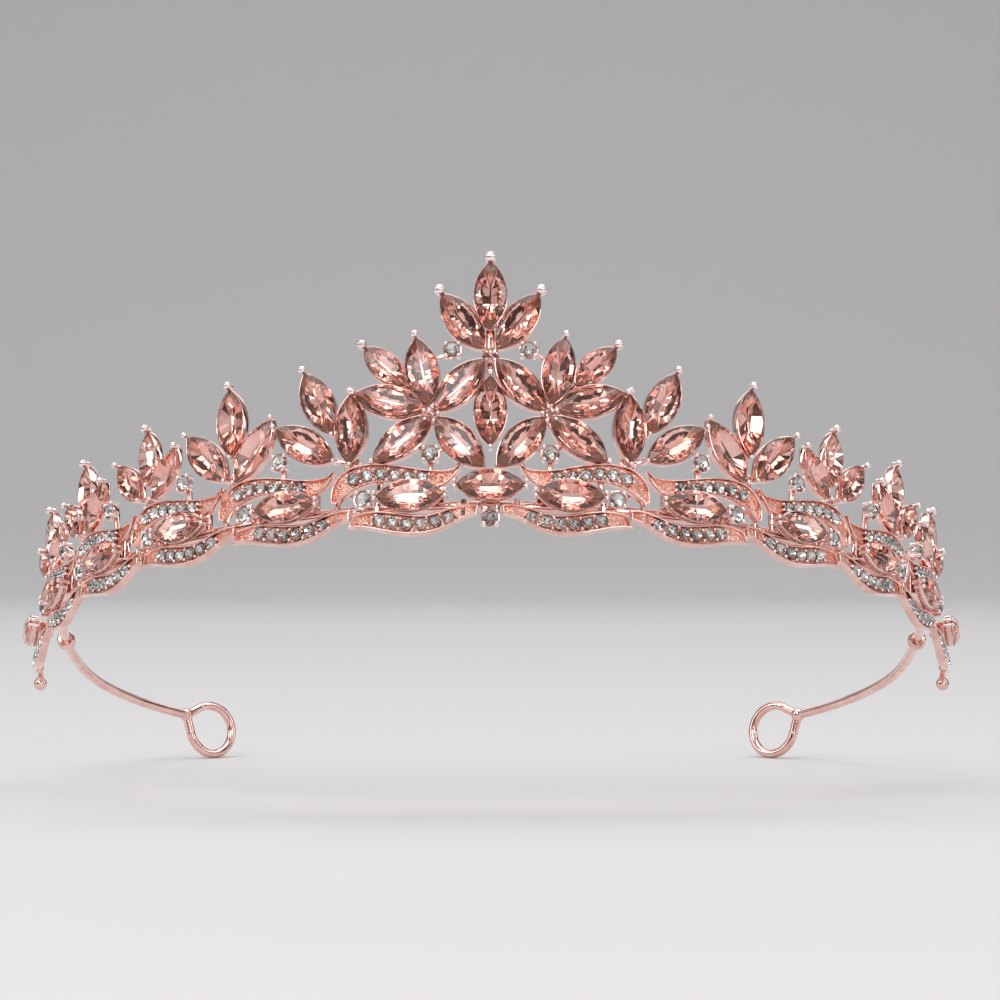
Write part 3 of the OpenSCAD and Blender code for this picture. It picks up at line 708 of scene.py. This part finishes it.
# on each side: the flower, the fans, the leaves and the end spray
for side, tag in ((1, "r"), (-1, "l")):
    flower, gems = Cast(), Cast()
    for p in FLOWER:
        flower.add(petal_casting(p), at_petal(FLOWER_HUB[0], p, side))
        spray_bar(flower, FLOWER_HUB[0], FLOWER_HUB, inner(p, .36), side)
        gem_at(gems, FLOWER_HUB[0], p, side)
    hub_beads(flower, FLOWER_HUB, side, 1.15, .36, 5, 30, 1.4)
    for a, b in FLOWER_FEET:
        spray_bar(flower, FLOWER_HUB[0], a, b, side)
    flower.make(f"side_flower_casting_{tag}", METALS, "rose_gold", f"side_flower_{tag}")
    gems.make(f"side_flower_gems_{tag}", PEACHES, "peach_crystal", f"side_flower_crystals_{tag}")

    gems = Cast()
    for k, (hub, petals) in enumerate(zip(FAN_HUBS, FANS), 1):
        fan = Cast()
        start = (hub[0], hub[1] + .6)
        for p in petals:
            fan.add(petal_casting(p), at_petal(hub[0], p, side))
            heel = shift(0, -petal_size(p)[0] / 2 - .2)
            fan.add(pin(.26, 1.55, .34, -.2), at_petal(hub[0], p, side) @ heel)
            spray_bar(fan, hub[0], start, inner(p, .35), side)
            gem_at(gems, hub[0], p, side)
        hub_beads(fan, (hub[0], hub[1] + .4), side, .8, .3, 3, 210)
        spray_bar(fan, hub[0], start, (hub[0] + .3, FAN_FOOT), side)
        fan.make(f"fan_casting_{tag}{k}", METALS, "rose_gold", f"fan_setting_{tag}{k}")
    gems.make(f"fan_gems_{tag}", PEACHES, "peach_crystal", f"fan_crystals_{tag}")

    for k in range(1, CELLS + 1):
        origin = (k - 1) * PITCH
        flat = on_band(origin + LEAF_MIDDLE, 0, side)
        for name, edges, pave, tabs, ends in (
                ("upper", UPPER_LEAF, UPPER_PAVE, (6.6,), (-.1, 2.6)),
                ("lower", LOWER_LEAF, LOWER_PAVE, (3.4, 15.9), (-2, .6))):
            leaf = Cast().add(leaf_shape(edges, origin, k + 10 * (side > 0)), flat)
            leaf_beads(pave, origin, side, leaf)
            for x in tabs:
                m = on_leaf(origin, origin + x + .4, 0, side)
                leaf.add(bar((0, ends[0]), (0, ends[1]), w=.8, t=1.1, top=1.15), m)
            leaf.make(f"{name}_leaf_casting_{tag}{k}", METALS, "rose_gold",
                      f"{name}_leaf_{tag}{k}")

    flat = on_band(END_ORIGIN + LEAF_MIDDLE, 0, side)
    spray = Cast().add(leaf_shape(END_LEAF, END_ORIGIN, 31 + side), flat)
    leaf_beads(END_PAVE, END_ORIGIN, side, spray)
    spray.add(bar((0, -2), (0, .6), w=.8, t=1.1, top=1.15),
              on_leaf(END_ORIGIN, END_ORIGIN + 3.8, 0, side))
    spray.add(tube([(on_leaf(END_ORIGIN, END_ORIGIN + x, y, side) @ (0, 0, LEAF_T / 2, 1))[:3]
                    for x, y, r in END_TAIL], [r for x, y, r in END_TAIL]))
    spray.add(ball(1.1, LEAF_T / 2), on_band(END_ORIGIN + END_TIP[0], END_TIP[1], side))
    spray.make(f"end_spray_casting_{tag}", METALS, "rose_gold", f"end_spray_{tag}")

# lying marquises of the band
cups, gems = Cast(), Cast()
places = [(CENTRE_MARQUISE, 1)] + [((BAND_MARQUISE[0] + k * PITCH, BAND_MARQUISE[1]), s)
                                   for s in (1, -1) for k in range(CELLS + 1)]
for c, s in places:
    m = on_band(c[0], c[1], s) @ shift(0, 0, PEDESTAL) @ turn(2, 90)
    cups.add(marquise_cup(*LYING, 0.0), m)
    cups.add(bar((0, -3.2), (0, 3.2), w=1.5, t=PEDESTAL + .2, top=.2), m)
    for e in (1, -1):
        for f in (.45, -.45):
            cups.add(pin(.26, 1.60, .33, .1), m @ shift(f, e * (LYING[0] / 2 + .25)))
    gems.add(marquise(*LYING, deep=1.0), m)
cups.make("band_marquise_cups", METALS, "rose_gold", "band_marquise_settings")
gems.make("band_gems", PEACHES, "peach_crystal", "band_crystals")

# rounds of the band and the accents between the sprays
cups, stones = Cast(), Cast()
for s in (1, -1):
    for k in range(CELLS):
        m = on_band(BAND_ROUND[0] + k * PITCH, BAND_ROUND[1], s)
        cups.add(lathe([(.7, 0), (.6, .3), (.6, 1.2)], 16), m)
        cups.add(claw_cup(), m @ shift(0, 0, 1.1))
        stones.add(round_stone(ROUND_R, 1.6, 1.4, .1), m)
cups.make("band_round_cups", METALS, "rose_gold", "band_round_settings")
m = on_band(*CENTRE_ROUND)
stones.add(round_stone(ROUND_R, .5, 1.4, .1), m)
stones.make("band_round_gems", CLEARS, "clear_crystal", "band_round_stones")
bridge = Cast().add(claw_cup(), m)
bridge.add(bar((0, -1.8), (0, .3), w=2.7, t=LEAF_T, top=LEAF_T), on_band(0))
bridge.make("centre_bridge_casting", METALS, "rose_gold", "centre_bridge")

cups, stones = Cast(), Cast()
for s in (1, -1):
    for c in ACCENTS:
        cups.add(claw_cup(), on_band(c[0], c[1], s) @ shift(0, 0, -.3))
        stones.add(round_stone(ROUND_R, .2, 1.4, .1), on_band(c[0], c[1], s))
    for a, b in ACCENT_STEMS:
        thin = b[1] > 8.5                 # the stems that end behind petals
        spray_bar(cups, a[0], a, b, s, w=.7, t=.5 if thin else .8, top=-.3 if thin else 0)
cups.make("accent_cups", METALS, "rose_gold", "accent_settings")
stones.make("accent_gems", CLEARS, "clear_crystal", "accent_stones")

# pave stones
for name, pave, extra in (("upper", UPPER_PAVE, []), ("lower", LOWER_PAVE, END_PAVE)):
    stones = Cast()
    rows = [(k * PITCH, pave) for k in range(CELLS)] + ([(END_ORIGIN, extra)] if extra else [])
    for s in (1, -1):
        for origin, row in rows:
            for i, (x, y) in enumerate(row):
                m = on_leaf(origin, origin + x, y, s) @ turn(2, 37 * i + origin)
                stones.add(round_stone(PAVE_R, LEAF_T, .8, -.06), m)
    stones.make(f"{name}_pave_gems", CLEARS, "clear_crystal", f"{name}_pave_stones")

# collars on the wire, a little way along the flatter arc of its sides
CUFF_SECTION = [(.78, -1.3), (1.15, -1.25), (1.42, -.95), (1.5, -.5), (1.36, 0), (1.5, .5),
                (1.42, .95), (1.15, 1.25), (.78, 1.3)]
cuffs = Cast()
for s in (1, -1):
    cuff = turn(2, -SIDE_START) @ shift(HOOP_R - SIDE_R) @ turn(2, CUFF_TURN) @ shift(SIDE_R)
    cuffs.add(lathe(CUFF_SECTION, 28), WORN @ SIDES[s] @ cuff @ turn(0, -90))
cuffs.make("wire_collars", METALS, "rose_gold", "wire_cuffs")

# ---------------------------------------------------------------- studio
PAPER, SEEN = (.72, .71, .72, 1), (.80, .79, .80, 1)
SKY = [(0.0, grey(.30)), (.3, grey(.62)), (1, grey(.90))]         # from the horizon to overhead
WALLS = [(.38, (.07, .05, .045)), (.46, grey(1.0))]               # dark gaps and lit walls
WORLD_STRENGTH = 0.85
AIM = Vector((0, -.03, .02))
LIGHTS = {                                                        # place, size, glow
    "key": ((-.28, -.62, .52), (.34, .34), 4.0),
    "front_right": ((.42, -.66, .30), (.16, .40), 3.5),
    "left_strip": ((-.75, -.10, .42), (.14, .60), 3.0),
    "right_strip": ((.75, -.02, .44), (.14, .60), 3.0),
    "top": ((0, .05, .95), (1.1, .8), 1.5),
    "back": ((0, .85, .45), (.8, .2), 1.5),
    "spark_a": ((.12, -.75, .16), (.05, .05), 12),
    "spark_b": ((-.10, -.55, .75), (.05, .05), 12)}
EYE, EYE_TILT, LENS, SENSOR = (.0014, -.5495, .0244), 90 - .22, 120.4, 36
FLOOR_HALF_W, FLOOR_FRONT, BEND_Y, BEND_R = 2.2, -1.6, 0.9, 0.5


def studio_floor():
    """Paper sweep: flat to BEND_Y, then a quarter round, then straight up."""
    paper, nt, bsdf = node_material("studio_paper")
    bsdf.inputs["Base Color"].default_value = PAPER
    bsdf.inputs["Roughness"].default_value = 0.9
    bsdf.inputs["Specular IOR Level"].default_value = 0.1
    bend = [(BEND_Y + BEND_R * math.sin(a), BEND_R - BEND_R * math.cos(a))
            for a in np.linspace(0.1, math.pi / 2, 12)]
    profile = [(FLOOR_FRONT, 0.0), (BEND_Y, 0.0)] + bend + [(BEND_Y + BEND_R, 2.0)]
    floor_z = cad_box[0][2]
    points = [(x, y, floor_z + z) for y, z in profile for x in (-FLOOR_HALF_W, FLOOR_HALF_W)]
    mesh = bpy.data.meshes.new("studio_floor")
    mesh.from_pydata(points, [], [(i, i + 1, i + 3, i + 2) for i in range(0, len(points) - 2, 2)])
    mesh.update()
    mesh.polygons.foreach_set("use_smooth", [True] * len(mesh.polygons))
    mesh.materials.append(paper)
    obj = bpy.data.objects.new("studio_floor", mesh)
    bpy.context.scene.collection.objects.link(obj)


def softbox(name, at, size, glow):
    data = bpy.data.lights.new(name, "AREA")
    data.shape = "RECTANGLE"
    data.size, data.size_y = size
    data.energy = glow * math.pi * size[0] * size[1]
    lamp = bpy.data.objects.new(name, data)
    lamp.location = at
    lamp.rotation_euler = (AIM - Vector(at)).to_track_quat("-Z", "Y").to_euler()
    lamp.visible_camera = False
    bpy.context.scene.collection.objects.link(lamp)


def studio_world():
    """Soft light with darker gaps for the metal to mirror, behind a plain backdrop."""
    world = bpy.data.worlds.new("studio")
    bpy.context.scene.world = world
    world.use_nodes = True
    wt = world.node_tree
    wt.nodes.clear()
    seen, lit = add_node(wt, "ShaderNodeBackground"), add_node(wt, "ShaderNodeBackground")
    seen.inputs["Color"].default_value = SEEN
    lit.inputs["Strength"].default_value = WORLD_STRENGTH
    where = add_node(wt, "ShaderNodeTexCoord").outputs["Generated"]
    split = add_node(wt, "ShaderNodeSeparateXYZ")
    gaps = add_node(wt, "ShaderNodeTexNoise", Scale=3.2, Detail=0.0)
    wt.links.new(where, split.inputs["Vector"])
    wt.links.new(where, gaps.inputs["Vector"])
    both = add_node(wt, "ShaderNodeMixRGB", blend_type="MULTIPLY", Fac=1.0)
    wt.links.new(ramp(wt, split.outputs["Z"], SKY), both.inputs["Color1"])
    wt.links.new(ramp(wt, gaps.outputs["Fac"], WALLS), both.inputs["Color2"])
    wt.links.new(both.outputs["Color"], lit.inputs["Color"])
    mix = add_node(wt, "ShaderNodeMixShader")
    path, out = add_node(wt, "ShaderNodeLightPath"), add_node(wt, "ShaderNodeOutputWorld")
    wt.links.new(path.outputs["Is Camera Ray"], mix.inputs["Fac"])
    wt.links.new(lit.outputs["Background"], mix.inputs[1])
    wt.links.new(seen.outputs["Background"], mix.inputs[2])
    wt.links.new(mix.outputs["Shader"], out.inputs["Surface"])


studio_floor()
for name, (at, size, glow) in LIGHTS.items():
    softbox(name, at, size, glow)
studio_world()

camera = bpy.data.cameras.new("camera")
camera.lens, camera.sensor_width = LENS, SENSOR
camera.clip_start, camera.clip_end = 0.01, 20
eye = bpy.data.objects.new("camera", camera)
eye.location = EYE
eye.rotation_euler = (math.radians(EYE_TILT), 0, 0)
bpy.context.scene.collection.objects.link(eye)
bpy.context.scene.camera = eye
bpy.context.scene.view_settings.view_transform = "Standard"
